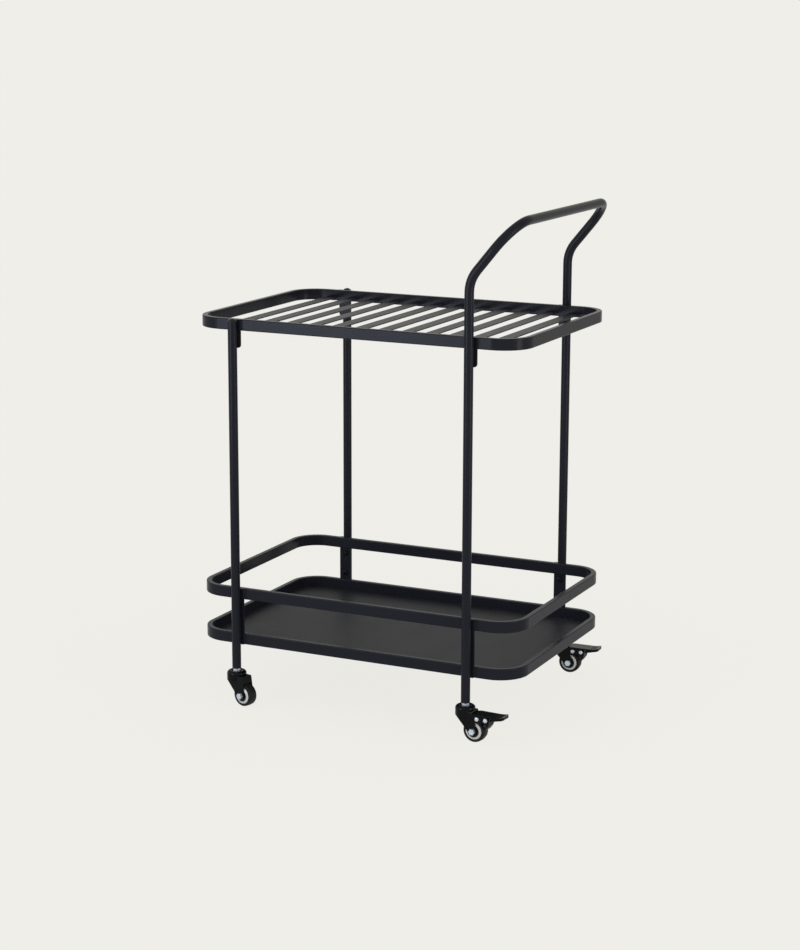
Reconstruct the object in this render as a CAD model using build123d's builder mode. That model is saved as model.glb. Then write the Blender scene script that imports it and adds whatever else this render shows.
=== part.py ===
"""Bar cart: two shelves in a round-tube frame with a push handle, on four swivel casters.

Millimetres, +Z up, origin on the floor below the middle of the shelves. X runs along the
long side towards the handle, Y runs from front to back.
"""

import os
from collections import namedtuple
from math import cos, radians, sin, sqrt, tan

from build123d import *

# Rails: one rectangular tube section bent into a rounded loop, used three times
rail_length = 642.0
rail_depth = 430.0
rail_corner_radius = 55.0
rail_height = 20.5
rail_thickness = 10.0
rail_wall = 1.2
rail_edge_radius = 1.6

# Heights of the rails' undersides above the floor
tray_height = 111.0
guard_height = 196.5
shelf_height = 692.5

# Legs and push handle: round tube
tube_diameter = 16.5
tube_wall = 1.2
leg_inset = 91.0
leg_height = 70.0
leg_top_drop = 2.0
handle_height = 910.0
handle_reach = 82.0
handle_bend_height = 811.0
handle_bend_radius = 58.0
grip_bend_radius = 58.0

# Leg end pieces
cap_dome_height = 4.5
cap_plug_length = 10.0
insert_flange = 2.5
insert_flange_radius = 1.8
insert_length = 20.0
plug_clearance = 0.1

# Top shelf slats
slat_count = 12
slat_margin = 58.0
slat_width = 23.0
slat_thickness = 2.0
slat_lift = 5.0
slat_edge_radius = 0.6
slat_end_clearance = 0.1

# Tray floor
sheet_thickness = 1.5
sheet_lift = 0.5
sheet_clearance = 0.1

# Plates that carry the rails on the legs
plate_thickness = 2.0
plate_width = 24.0
plate_seat = 0.05
bracket_drop = 31.0
bracket_corner_radius = 6.0
post_corner_radius = 2.0

# Bolts, washers and rivet nuts
bolt_diameter = 6.0
bolt_length = 12.0
bolt_head_diameter = 10.5
bolt_head_height = 3.3
bolt_head_round = 2.4
bolt_socket = 4.0
bolt_socket_depth = 1.8
bolt_hole_clearance = 0.2
bolt_thread_clearance = 0.05
washer_diameter = 11.0
washer_thickness = 1.4
rivet_nut_diameter = 9.0
rivet_nut_length = 11.0
post_bolt_spacing = 40.0

# Caster stem, nut and swivel
stem_diameter = 8.0
stem_length = 27.0
stem_clearance = 0.05
nut_across_flats = 13.0
nut_height = 5.0
swivel_diameter = 36.0
cap_height = 5.5
cap_edge_height = 1.6
cap_flat_diameter = 18.0
swivel_gap = 0.6
ball_diameter = 3.2
ball_count = 8
ball_circle_diameter = 23.0
ball_clearance = 0.05
kingpin_diameter = 9.0
swivel_washer_diameter = 20.0
swivel_washer_thickness = 2.0
swivel_washer_gap = 0.3
kingpin_head_diameter = 13.0
kingpin_head_height = 2.2

# Caster fork
fork_sheet = 2.0
fork_top_sheet = 2.4
fork_gap = 22.0
fork_bend_radius = 2.5
crown_low = 46.5
hood_rear = 24.0
skirt_height = 43.0
axle_boss_radius = 8.0

# Caster wheel
wheel_diameter = 42.0
wheel_trail = 21.0
tyre_width = 18.0
tyre_crown = 0.9
tyre_shoulder = 2.0
core_diameter = 31.0
core_inset = 0.5
crest_gap = 0.5
cover_diameter = 22.5
cover_thickness = 2.0
bush_diameter = 13.0
bush_gap = 0.3
seat_clearance = 0.02

# Axle
axle_diameter = 6.0
axle_head = 5.0
axle_across_flats = 10.0
axle_nut_height = 4.0
axle_clearance = 0.05
hex_chamfer_angle = 30.0

# Brake: pedal, shoe and rivets, set out from the stem axis and the floor
brake_travel = 12.0
pivot_trail = 46.0
pivot_height = 45.0
cross_pin_trail = 29.3
pin_diameter = 5.0
pin_head_diameter = 8.0
pin_head_height = 2.4
pin_head_round = 2.1
pin_clearance = 0.05
ear_radius = 6.0
pedal_gap = 0.5
pedal_sheet = 1.6
pedal_width = 27.0
pedal_front = 21.0
pedal_bend = 62.0
pedal_tip = 80.0
pedal_tip_rise = 2.5
pedal_corner_radius = 5.0
pedal_end_depth = 5.4
flange_front = 54.0
flange_low_trail = 60.0
flange_depth = 7.4
lug_gap = 0.3
lug_radius = 5.2
lug_foot_trail = 48.5
lug_foot_height = 37.0
lug_foot_radius = 3.0
shoe_gap = 0.6
shoe_low_angle = 15.0
shoe_high_angle = 40.0
shoe_back_trail = 51.5
shoe_back_height = 34.3
shoe_top_front = 44.0
shoe_top_rear = 50.5
shoe_top_height = 40.5
shoe_side_gap = 0.1

# Casters: which way each one has turned on its stem
front_left_turn = -14.0
back_left_turn = 14.0
front_right_turn = -4.0
back_right_turn = 2.0

# Worked out from the values above
tube_radius = tube_diameter / 2
tube_bore = tube_radius - tube_wall
leg_x = rail_length / 2 - leg_inset
leg_y = rail_depth / 2 + plate_thickness + plate_seat + tube_radius
slat_pitch = (rail_length - 2 * rail_thickness - 2 * slat_margin) / (slat_count - 1)
shelf_top = shelf_height + rail_height
leg_top = shelf_top - leg_top_drop
foot = leg_height - insert_flange
cap_top = foot - nut_height
cap_under = cap_top - cap_height
fork_top = cap_under - swivel_gap
fork_under = fork_top - fork_top_sheet
swivel_radius = swivel_diameter / 2
fork_width = fork_gap + 2 * fork_sheet
wheel_radius = wheel_diameter / 2
ball_height = fork_top + swivel_gap / 2
post_middle = (tray_height + rail_height + guard_height) / 2
bracket_bolt = shelf_height - bracket_drop / 2
bolt_heights = [
    bracket_bolt,
    post_middle + post_bolt_spacing / 2,
    post_middle - post_bolt_spacing / 2,
]
pedal_under = pivot_height + ear_radius + pedal_gap
pedal_top = pedal_under + pedal_sheet
pivot = (pivot_trail, pivot_height)
cross_pin = (cross_pin_trail, pivot_height)
lug_face = fork_gap / 2 - lug_gap
core_face = tyre_width / 2 - core_inset
core_crest = fork_gap / 2 - crest_gap
core_floor = core_crest - cover_thickness
hex_corner = axle_across_flats / sqrt(3)
hex_chamfer = (hex_corner - axle_across_flats / 2) * tan(radians(hex_chamfer_angle))
nut_corner = nut_across_flats / sqrt(3)
nut_chamfer = (nut_corner - nut_across_flats / 2) * tan(radians(hex_chamfer_angle))

Corner = namedtuple("Corner", "name x y turn braked")
corners = [
    Corner("front_left", -1, -1, front_left_turn, False),
    Corner("back_left", -1, 1, back_left_turn, False),
    Corner("front_right", 1, -1, front_right_turn, True),
    Corner("back_right", 1, 1, back_right_turn, True),
]

os.makedirs("parts", exist_ok=True)


def keep(part, name):
    """Label a finished piece and write it out."""
    part.label = name
    export_step(part, f"parts/{name}.step")


def rail_loop(height):
    """Closed loop of rectangular tube with rounded edges, hollow inside."""
    with BuildPart() as loop:
        with BuildSketch(Plane.XY.offset(height)):
            RectangleRounded(rail_length, rail_depth, rail_corner_radius)
            offset(amount=-rail_thickness, mode=Mode.SUBTRACT)
        extrude(amount=rail_height)
        ends = loop.edges().group_by(Axis.Z)
        fillet(ends[0] + ends[-1], rail_edge_radius)
        with BuildSketch(Plane.XY.offset(height + rail_wall)):
            RectangleRounded(
                rail_length - 2 * rail_wall,
                rail_depth - 2 * rail_wall,
                rail_corner_radius - rail_wall,
            )
            offset(amount=2 * rail_wall - rail_thickness, mode=Mode.SUBTRACT)
        extrude(amount=rail_height - 2 * rail_wall, mode=Mode.SUBTRACT)
    return loop.part


def straight_leg(side):
    """Straight tube on the left; side is -1 at the front and 1 at the back."""
    with BuildPart() as leg:
        with BuildSketch(Plane((-leg_x, side * leg_y, leg_height))):
            Circle(tube_radius)
            Circle(tube_bore, mode=Mode.SUBTRACT)
        extrude(amount=leg_top - leg_height)
        with BuildSketch(Plane.XZ):
            with Locations([(-leg_x, height) for height in bolt_heights]):
                Circle(rivet_nut_diameter / 2 + seat_clearance)
        extrude(amount=-side * leg_y, mode=Mode.SUBTRACT)
    return leg.part


keep(rail_loop(shelf_height), "top_rim")
keep(rail_loop(guard_height), "guard_rail")
keep(rail_loop(tray_height), "tray_rim")
keep(straight_leg(-1), "leg_front_left")
keep(straight_leg(1), "leg_back_left")

# Right legs and push handle: one tube, up, out over the end and across
handle_x = leg_x + handle_reach
with BuildPart() as handle_frame:
    with BuildLine():
        FilletPolyline(
            (leg_x, -leg_y, leg_height),
            (leg_x, -leg_y, handle_bend_height),
            (handle_x, -leg_y, handle_height),
            (handle_x, leg_y, handle_height),
            (leg_x, leg_y, handle_bend_height),
            (leg_x, leg_y, leg_height),
            radius=[handle_bend_radius, grip_bend_radius, grip_bend_radius, handle_bend_radius],
        )
    with BuildSketch(Plane((leg_x, -leg_y, leg_height))):
        Circle(tube_radius)
        Circle(tube_bore, mode=Mode.SUBTRACT)
    sweep()
    with BuildSketch(Plane.XZ):
        with Locations([(leg_x, height) for height in bolt_heights]):
            Circle(rivet_nut_diameter / 2 + seat_clearance)
    extrude(amount=leg_y, both=True, mode=Mode.SUBTRACT)
keep(handle_frame.part, "handle_frame")

# Domed caps on the left legs
with BuildPart() as leg_caps:
    with BuildSketch(Plane((-leg_x, -leg_y, leg_top), x_dir=(1, 0, 0), z_dir=(0, -1, 0))):
        with BuildLine():
            TangentArc((0, cap_dome_height), (tube_radius, 0), tangent=(1, 0))
            Polyline(
                (tube_radius, 0),
                (tube_bore - plug_clearance, 0),
                (tube_bore - plug_clearance, -cap_plug_length),
                (0, -cap_plug_length),
                (0, cap_dome_height),
            )
        make_face()
    revolve(axis=Axis((-leg_x, -leg_y, 0), (0, 0, 1)))
    mirror(about=Plane.XZ)
keep(leg_caps.part, "leg_caps")

# Threaded plugs in the feet of the legs
with BuildPart() as leg_inserts:
    with BuildSketch(Plane((leg_x, leg_y, foot))):
        Circle(tube_radius)
    extrude(amount=insert_flange)
    fillet(leg_inserts.edges().group_by(Axis.Z)[0], insert_flange_radius)
    with BuildSketch(Plane((leg_x, leg_y, leg_height))):
        Circle(tube_bore - plug_clearance)
    extrude(amount=insert_length)
    with BuildSketch(Plane((leg_x, leg_y, foot))):
        Circle(stem_diameter / 2 + stem_clearance)
    extrude(amount=insert_flange + insert_length, mode=Mode.SUBTRACT)
    mirror(about=Plane.YZ)
    mirror(about=Plane.XZ)
keep(leg_inserts.part, "leg_inserts")

# Flat bars across the top shelf
with BuildPart() as top_slats:
    with BuildSketch(Plane.XY.offset(shelf_height + slat_lift)):
        with GridLocations(slat_pitch, 0, slat_count, 1):
            Rectangle(slat_width, rail_depth - 2 * rail_thickness - 2 * slat_end_clearance)
    extrude(amount=slat_thickness)
    fillet(top_slats.edges().filter_by(Axis.Y).group_by(Axis.Z)[-1], slat_edge_radius)
keep(top_slats.part, "top_slats")

# Sheet floor of the tray
with BuildPart() as tray_sheet:
    with BuildSketch(Plane.XY.offset(tray_height + sheet_lift)):
        RectangleRounded(rail_length, rail_depth, rail_corner_radius)
        offset(amount=-rail_thickness - sheet_clearance, mode=Mode.REPLACE)
    extrude(amount=sheet_thickness)
keep(tray_sheet.part, "tray_sheet")

# Plates that hang from the top rim, one behind each leg
with BuildPart() as top_brackets:
    with BuildSketch(Plane.XZ.offset(rail_depth / 2)) as bracket_face:
        with Locations((-leg_x, shelf_top), (leg_x, shelf_top)):
            Rectangle(plate_width, rail_height + bracket_drop, align=(Align.CENTER, Align.MAX))
        fillet(bracket_face.vertices().group_by(Axis.Y)[0], bracket_corner_radius)
        with Locations((-leg_x, bracket_bolt), (leg_x, bracket_bolt)):
            Circle(bolt_diameter / 2 + bolt_hole_clearance, mode=Mode.SUBTRACT)
    extrude(amount=plate_thickness)
    mirror(about=Plane.XZ)
keep(top_brackets.part, "top_brackets")

# Plates that tie the guard rail to the tray rim
with BuildPart() as basket_posts:
    with BuildSketch(Plane.XZ.offset(rail_depth / 2)) as post_face:
        with Locations((-leg_x, tray_height), (leg_x, tray_height)):
            Rectangle(
                plate_width,
                guard_height + rail_height - tray_height,
                align=(Align.CENTER, Align.MIN),
            )
        fillet(post_face.vertices(), post_corner_radius)
        with Locations([(side * leg_x, height) for side in (-1, 1) for height in bolt_heights[1:]]):
            Circle(bolt_diameter / 2 + bolt_hole_clearance, mode=Mode.SUBTRACT)
    extrude(amount=plate_thickness)
    mirror(about=Plane.XZ)
keep(basket_posts.part, "basket_posts")

# Button-head bolts from inside, with a washer each, into rivet nuts in the legs
bolt_places = [(side * leg_x, height) for side in (-1, 1) for height in bolt_heights]
washer_face = rail_depth / 2 - washer_thickness
with BuildPart() as frame_bolts:
    with BuildSketch(Plane.XZ.offset(washer_face - bolt_head_height)):
        with Locations(bolt_places):
            Circle(bolt_head_diameter / 2)
    extrude(amount=bolt_head_height)
    fillet(frame_bolts.edges().group_by(Axis.Y)[-1], bolt_head_round)
    with BuildSketch(Plane.XZ.offset(washer_face - bolt_head_height)):
        with Locations(bolt_places):
            RegularPolygon(bolt_socket / 2, 6, major_radius=False)
    extrude(amount=bolt_socket_depth, mode=Mode.SUBTRACT)
    with BuildSketch(Plane.XZ.offset(washer_face)):
        with Locations(bolt_places):
            Circle(bolt_diameter / 2)
    extrude(amount=bolt_length)
    mirror(about=Plane.XZ)
keep(frame_bolts.part, "frame_bolts")

with BuildPart() as lock_washers:
    with BuildSketch(Plane.XZ.offset(washer_face)):
        with Locations(bolt_places):
            Circle(washer_diameter / 2)
            Circle(bolt_diameter / 2 + bolt_hole_clearance, mode=Mode.SUBTRACT)
    extrude(amount=washer_thickness)
    mirror(about=Plane.XZ)
keep(lock_washers.part, "lock_washers")

with BuildPart() as rivet_nuts:
    with BuildSketch(Plane.XZ.offset(rail_depth / 2 + plate_thickness)):
        with Locations(bolt_places):
            Circle(rivet_nut_diameter / 2)
            Circle(bolt_diameter / 2 + bolt_thread_clearance, mode=Mode.SUBTRACT)
    extrude(amount=rivet_nut_length)
    mirror(about=Plane.XZ)
keep(rivet_nuts.part, "rivet_nuts")

# Caster stems: thread above, kingpin with a riveted head below
stem_places = [(leg_x * corner.x, leg_y * corner.y) for corner in corners]
washer_top = fork_under - swivel_washer_gap
washer_under = washer_top - swivel_washer_thickness
with BuildPart() as caster_stems:
    with BuildSketch(Plane.XY.offset(washer_under - kingpin_head_height)):
        with Locations(stem_places):
            Circle(kingpin_head_diameter / 2)
    extrude(amount=kingpin_head_height)
    fillet(caster_stems.edges().group_by(Axis.Z)[0], kingpin_head_height / 2)
    with BuildSketch(Plane.XY.offset(washer_under)):
        with Locations(stem_places):
            Circle(kingpin_diameter / 2)
    extrude(amount=cap_under - washer_under)
    with BuildSketch(Plane.XY.offset(cap_under)):
        with Locations(stem_places):
            Circle(stem_diameter / 2)
    extrude(amount=cap_height + stem_length)
keep(caster_stems.part, "caster_stems")

# Hexagon nuts between the feet and the casters, chamfered at both ends
with BuildPart() as stem_nuts:
    with BuildSketch(Plane((leg_x, leg_y, cap_top))):
        RegularPolygon(nut_across_flats / 2, 6, major_radius=False)
    extrude(amount=nut_height)
    with BuildSketch(Plane((leg_x, leg_y, cap_top), x_dir=(1, 0, 0), z_dir=(0, -1, 0))):
        with BuildLine():
            Polyline(
                (stem_diameter / 2 + stem_clearance, 0),
                (nut_across_flats / 2, 0),
                (nut_corner, nut_chamfer),
                (nut_corner, nut_height - nut_chamfer),
                (nut_across_flats / 2, nut_height),
                (stem_diameter / 2 + stem_clearance, nut_height),
                close=True,
            )
        make_face()
    revolve(axis=Axis((leg_x, leg_y, 0), (0, 0, 1)), mode=Mode.INTERSECT)
    mirror(about=Plane.YZ)
    mirror(about=Plane.XZ)
keep(stem_nuts.part, "stem_nuts")

with BuildPart() as swivel_washers:
    with BuildSketch(Plane.XY.offset(washer_under)):
        with Locations(stem_places):
            Circle(swivel_washer_diameter / 2)
            Circle(kingpin_diameter / 2 + stem_clearance, mode=Mode.SUBTRACT)
    extrude(amount=swivel_washer_thickness)
keep(swivel_washers.part, "swivel_washers")

# Domed covers over the ball races
with BuildPart() as swivel_caps:
    with BuildSketch(Plane((leg_x, leg_y, 0), x_dir=(1, 0, 0), z_dir=(0, -1, 0))):
        with BuildLine():
            Polyline(
                (stem_diameter / 2 + stem_clearance, cap_under),
                (swivel_radius, cap_under),
                (swivel_radius, cap_under + cap_edge_height),
            )
            TangentArc(
                (swivel_radius, cap_under + cap_edge_height),
                (cap_flat_diameter / 2, cap_top),
                tangent=(0, 1),
            )
            Polyline(
                (cap_flat_diameter / 2, cap_top),
                (stem_diameter / 2 + stem_clearance, cap_top),
                (stem_diameter / 2 + stem_clearance, cap_under),
            )
        make_face()
        with Locations((ball_circle_diameter / 2, ball_height)):
            Circle(ball_diameter / 2 + ball_clearance, mode=Mode.SUBTRACT)
    revolve(axis=Axis((leg_x, leg_y, 0), (0, 0, 1)))
    mirror(about=Plane.YZ)
    mirror(about=Plane.XZ)
keep(swivel_caps.part, "swivel_caps")


def level_plane(corner, height):
    """Level plane on a caster's stem axis, with its x along the caster's trail."""
    turn = radians(corner.turn)
    place = (corner.x * leg_x, corner.y * leg_y, height)
    return Plane(place, x_dir=(cos(turn), sin(turn), 0), z_dir=(0, 0, 1))


def side_plane(corner):
    """Upright plane along a caster's trail: x is the trail, y the height above the floor."""
    turn = radians(corner.turn)
    place = (corner.x * leg_x, corner.y * leg_y, 0)
    return Plane(place, x_dir=(cos(turn), sin(turn), 0), z_dir=(sin(turn), -cos(turn), 0))


def axle_plane(corner):
    """Upright plane along a caster's axle: x runs along the axle, y up from it."""
    side = side_plane(corner)
    place = side.from_local_coords((wheel_trail, wheel_radius, 0))
    return Plane(place, x_dir=-side.z_dir, z_dir=side.x_dir)


def stem_axis(corner):
    """Upright axis of a caster's stem."""
    return Axis((corner.x * leg_x, corner.y * leg_y, 0), (0, 0, 1))


def axle_axis(corner):
    """Axis of a caster's axle."""
    side = side_plane(corner)
    return Axis(side.from_local_coords((wheel_trail, wheel_radius, 0)), side.z_dir)


def released(trail, height):
    """Where a point of the brake, given with the shoe on the tread, lies with the brake off."""
    turn = radians(brake_travel)
    along = trail - pivot_trail
    up = height - pivot_height
    return (
        pivot_trail + along * cos(turn) - up * sin(turn),
        pivot_height + along * sin(turn) + up * cos(turn),
    )


def make_fork(corner):
    """Pressed crown with two cheeks; behind it a plain fork has a hood, a braked one two ears."""
    side = side_plane(corner)
    cheek_front = -sqrt(swivel_radius**2 - (fork_width / 2) ** 2)
    cavity_rear = pivot_trail + 2 * ear_radius if corner.braked else hood_rear - fork_sheet
    with BuildPart() as fork:
        with BuildSketch(side):
            with Locations((wheel_trail, wheel_radius)):
                Circle(axle_boss_radius)
            with BuildLine():
                if corner.braked:
                    Polyline(
                        (cheek_front, crown_low),
                        (cheek_front, fork_top),
                        (swivel_radius, fork_top),
                    )
                else:
                    Polyline(
                        (cheek_front, crown_low),
                        (cheek_front, fork_top),
                        (hood_rear, fork_top),
                        (hood_rear, skirt_height),
                    )
            make_hull()
        if corner.braked:
            with BuildSketch(side):
                with Locations((0, pivot_height), pivot):
                    Circle(ear_radius)
                make_hull()
        extrude(amount=fork_width / 2, both=True)
        hood_edges = fork.edges().filter_by(Axis((0, 0, 0), side.x_dir)).group_by(Axis.Z)[-1]
        fillet(hood_edges, fork_bend_radius)
        with BuildSketch(side):
            with Locations((cavity_rear, fork_under)):
                Rectangle(
                    cavity_rear + swivel_diameter,
                    fork_under,
                    align=(Align.MAX, Align.MAX),
                )
            with Locations((wheel_trail, 0)):
                Rectangle(wheel_diameter, skirt_height, align=(Align.CENTER, Align.MIN))
        extrude(amount=fork_gap / 2, both=True, mode=Mode.SUBTRACT)
        with BuildSketch(level_plane(corner, crown_low)):
            Circle(swivel_radius)
            Circle(swivel_radius - fork_sheet, mode=Mode.SUBTRACT)
            Rectangle(
                swivel_radius,
                fork_gap,
                align=(Align.MIN, Align.CENTER),
                mode=Mode.SUBTRACT,
            )
        extrude(amount=fork_under - crown_low)
        with BuildSketch(level_plane(corner, fork_under)):
            Circle(swivel_radius)
        extrude(amount=fork_top_sheet)
        with BuildSketch(level_plane(corner, fork_under)):
            Circle(kingpin_diameter / 2 + stem_clearance)
        extrude(amount=fork_top_sheet, mode=Mode.SUBTRACT)
        with BuildSketch(side):
            with Locations((ball_circle_diameter / 2, ball_height)):
                Circle(ball_diameter / 2 + ball_clearance)
        revolve(axis=stem_axis(corner), mode=Mode.SUBTRACT)
        with BuildSketch(side):
            with Locations((wheel_trail, wheel_radius)):
                Circle(axle_diameter / 2 + axle_clearance)
            if corner.braked:
                with Locations(cross_pin, pivot):
                    Circle(pin_diameter / 2 + pin_clearance)
        extrude(amount=fork_width / 2, both=True, mode=Mode.SUBTRACT)
    return fork.part


def make_balls(corner):
    """Row of balls between the cap and the fork."""
    with BuildPart(level_plane(corner, ball_height)) as balls:
        with PolarLocations(ball_circle_diameter / 2, ball_count):
            Sphere(ball_diameter / 2)
    return balls.part


def make_axle_bolt(corner):
    """Hexagon bolt through both cheeks, its head towards the front."""
    side = side_plane(corner)
    head_face = fork_width / 2 + axle_head
    with BuildPart() as bolt:
        with BuildSketch(side.offset(fork_width / 2)):
            with Locations((wheel_trail, wheel_radius)):
                RegularPolygon(axle_across_flats / 2, 6, major_radius=False)
        extrude(amount=axle_head)
        with BuildSketch(axle_plane(corner)):
            with BuildLine():
                Polyline(
                    (-fork_width / 2, 0),
                    (-fork_width / 2, hex_corner),
                    (hex_chamfer - head_face, hex_corner),
                    (-head_face, axle_across_flats / 2),
                    (-head_face, 0),
                    close=True,
                )
            make_face()
        revolve(axis=axle_axis(corner), mode=Mode.INTERSECT)
        with BuildSketch(side.offset(-head_face)):
            with Locations((wheel_trail, wheel_radius)):
                Circle(axle_diameter / 2)
        extrude(amount=head_face + fork_width / 2)
    return bolt.part


def make_axle_nut(corner):
    """Hexagon nut on the far end of the axle bolt."""
    nut_face = fork_width / 2 + axle_nut_height
    with BuildPart() as nut:
        with BuildSketch(side_plane(corner).offset(-nut_face)):
            with Locations((wheel_trail, wheel_radius)):
                RegularPolygon(axle_across_flats / 2, 6, major_radius=False)
        extrude(amount=axle_nut_height)
        with BuildSketch(axle_plane(corner)):
            with BuildLine():
                Polyline(
                    (fork_width / 2, axle_diameter / 2 + axle_clearance),
                    (fork_width / 2, hex_corner),
                    (nut_face - hex_chamfer, hex_corner),
                    (nut_face, axle_across_flats / 2),
                    (nut_face, axle_diameter / 2 + axle_clearance),
                    close=True,
                )
            make_face()
        revolve(axis=axle_axis(corner), mode=Mode.INTERSECT)
    return nut.part


def make_tyre(corner):
    """Solid tyre with a crowned tread and rounded shoulders."""
    half = tyre_width / 2
    with BuildPart() as tyre:
        with BuildSketch(axle_plane(corner)) as section:
            with BuildLine():
                ThreePointArc(
                    (-half, wheel_radius - tyre_crown),
                    (0, wheel_radius),
                    (half, wheel_radius - tyre_crown),
                )
                Polyline(
                    (half, wheel_radius - tyre_crown),
                    (half, core_diameter / 2),
                    (-half, core_diameter / 2),
                    (-half, wheel_radius - tyre_crown),
                )
            make_face()
            fillet(section.vertices().group_by(Axis.Y)[-1], tyre_shoulder)
        revolve(axis=axle_axis(corner))
    return tyre.part


def make_core(corner):
    """Wheel core, coned up on both sides from the tyre to a seat for the cover."""
    bore = bush_diameter / 2 + seat_clearance
    rim = core_diameter / 2 - seat_clearance
    with BuildPart() as core:
        with BuildSketch(axle_plane(corner)):
            with BuildLine():
                Polyline(
                    (0, bore),
                    (core_floor, bore),
                    (core_floor, cover_diameter / 2),
                    (core_crest, cover_diameter / 2),
                    (core_face, rim),
                    (0, rim),
                    close=True,
                )
            make_face()
            mirror(about=Plane.YZ)
        revolve(axis=axle_axis(corner))
    return core.part


def make_covers(corner):
    """Round covers on both sides of the core."""
    bore = bush_diameter / 2 + seat_clearance
    edge = cover_diameter / 2 - seat_clearance
    with BuildPart() as covers:
        with BuildSketch(axle_plane(corner)):
            with BuildLine():
                Polyline(
                    (core_floor, bore),
                    (core_floor, edge),
                    (core_floor + cover_thickness / 2, edge),
                    (core_crest, edge - cover_thickness / 2),
                    (core_crest, bore),
                    close=True,
                )
            make_face()
            mirror(about=Plane.YZ)
        revolve(axis=axle_axis(corner))
    return covers.part


def make_bush(corner):
    """Sleeve that the wheel turns on."""
    with BuildPart() as bush:
        with BuildSketch(side_plane(corner)):
            with Locations((wheel_trail, wheel_radius)):
                Circle(bush_diameter / 2)
                Circle(axle_diameter / 2 + axle_clearance, mode=Mode.SUBTRACT)
        extrude(amount=fork_gap / 2 - bush_gap, both=True)
    return bush.part


def make_pins(corner):
    """Two rivets through the cheeks: the pedal's pivot and the fork's cross rivet."""
    side = side_plane(corner)
    with BuildPart() as pins:
        with BuildSketch(side.offset(fork_width / 2)):
            with Locations(cross_pin, pivot):
                Circle(pin_head_diameter / 2)
        extrude(amount=pin_head_height)
        crown = pins.edges().group_by(Axis((0, 0, 0), side.z_dir))[-1]
        fillet(crown, pin_head_round)
        mirror(about=side)
        with BuildSketch(side):
            with Locations(cross_pin, pivot):
                Circle(pin_diameter / 2)
        extrude(amount=fork_width / 2, both=True)
    return pins.part


def pedal_plan(corner, inset):
    """Outline of the pedal seen from above, drawn in by a sheet or not."""
    with BuildSketch(level_plane(corner, 0)) as plan:
        with Locations(((pedal_front + pedal_tip) / 2, 0)):
            RectangleRounded(
                pedal_tip - pedal_front - 2 * inset,
                pedal_width - 2 * inset,
                pedal_corner_radius - inset,
            )
    return plan.sketch


def make_lever(corner):
    """Pressed pedal: a pan with an upturned tip, skirted round its end, and two pivot lugs."""
    side = side_plane(corner)
    middle = pedal_under + pedal_sheet / 2
    tip = (pedal_tip, middle + pedal_tip_rise)
    tall = fork_top + pedal_tip_rise
    with BuildPart() as lever:
        with BuildSketch(side):
            with BuildLine():
                Line((flange_front, middle), (pedal_bend, middle))
                TangentArc((pedal_bend, middle), tip, tangent=(1, 0))
                Polyline(
                    tip,
                    (pedal_tip, pedal_top + pedal_tip_rise - pedal_end_depth),
                    (flange_low_trail, pedal_top - flange_depth),
                    (flange_front, middle),
                )
            make_face()
        extrude(amount=pedal_width / 2, both=True)
        extrude(pedal_plan(corner, pedal_sheet), amount=tall, mode=Mode.SUBTRACT)
        with BuildSketch(side):
            with BuildLine():
                Line((pedal_front, middle), (pedal_bend, middle))
                TangentArc((pedal_bend, middle), tip, tangent=(1, 0))
            trace(line_width=pedal_sheet)
        extrude(amount=pedal_width / 2, both=True)
        with BuildSketch(side.offset(lug_face)):
            with Locations(pivot):
                Circle(lug_radius)
            with Locations((lug_foot_trail, lug_foot_height)):
                Circle(lug_foot_radius)
            with BuildLine():
                Line((2 * pivot_trail - flange_front, middle), (flange_front, middle))
            make_hull()
        extrude(amount=-pedal_sheet)
        mirror(about=side)
        with BuildSketch(side):
            with Locations(pivot):
                Circle(pin_diameter / 2 + pin_clearance)
        extrude(amount=lug_face, both=True, mode=Mode.SUBTRACT)
        extrude(pedal_plan(corner, 0), amount=tall, mode=Mode.INTERSECT)
    return lever.part


def make_shoe(corner):
    """Brake block between the lugs; pressed down, its face lies along the tread."""
    with BuildPart() as shoe:
        with BuildSketch(side_plane(corner)):
            with BuildLine():
                face = CenterArc(
                    released(wheel_trail, wheel_radius),
                    wheel_radius + shoe_gap,
                    shoe_low_angle + brake_travel,
                    shoe_high_angle - shoe_low_angle,
                )
                Polyline(
                    face @ 1,
                    (shoe_top_front, shoe_top_height),
                    (shoe_top_rear, shoe_top_height),
                    (shoe_back_trail, shoe_back_height),
                    face @ 0,
                )
            make_face()
        extrude(amount=lug_face - pedal_sheet - shoe_side_gap, both=True)
    return shoe.part


for corner in corners:
    keep(make_fork(corner), f"fork_{corner.name}")
    keep(make_balls(corner), f"swivel_balls_{corner.name}")
    keep(make_axle_bolt(corner), f"axle_bolt_{corner.name}")
    keep(make_axle_nut(corner), f"axle_nut_{corner.name}")
    keep(make_tyre(corner), f"tyre_{corner.name}")
    keep(make_core(corner), f"wheel_core_{corner.name}")
    keep(make_covers(corner), f"hub_covers_{corner.name}")
    keep(make_bush(corner), f"wheel_bush_{corner.name}")
    if corner.braked:
        keep(make_pins(corner), f"brake_pins_{corner.name}")
        keep(make_lever(corner), f"brake_lever_{corner.name}")
        keep(make_shoe(corner), f"brake_shoe_{corner.name}")
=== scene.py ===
"""Finishes, weld beads, studio and camera of the bar cart.

Metres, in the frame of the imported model: origin on the floor below the middle of the
shelves, +X towards the push handle, +Y to the back, +Z up.
"""

from __future__ import annotations

import logging
import math
from abc import ABC, abstractmethod
from dataclasses import dataclass, field
from enum import Enum

import bpy
import numpy as np
from mathutils import Matrix, Vector


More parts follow.
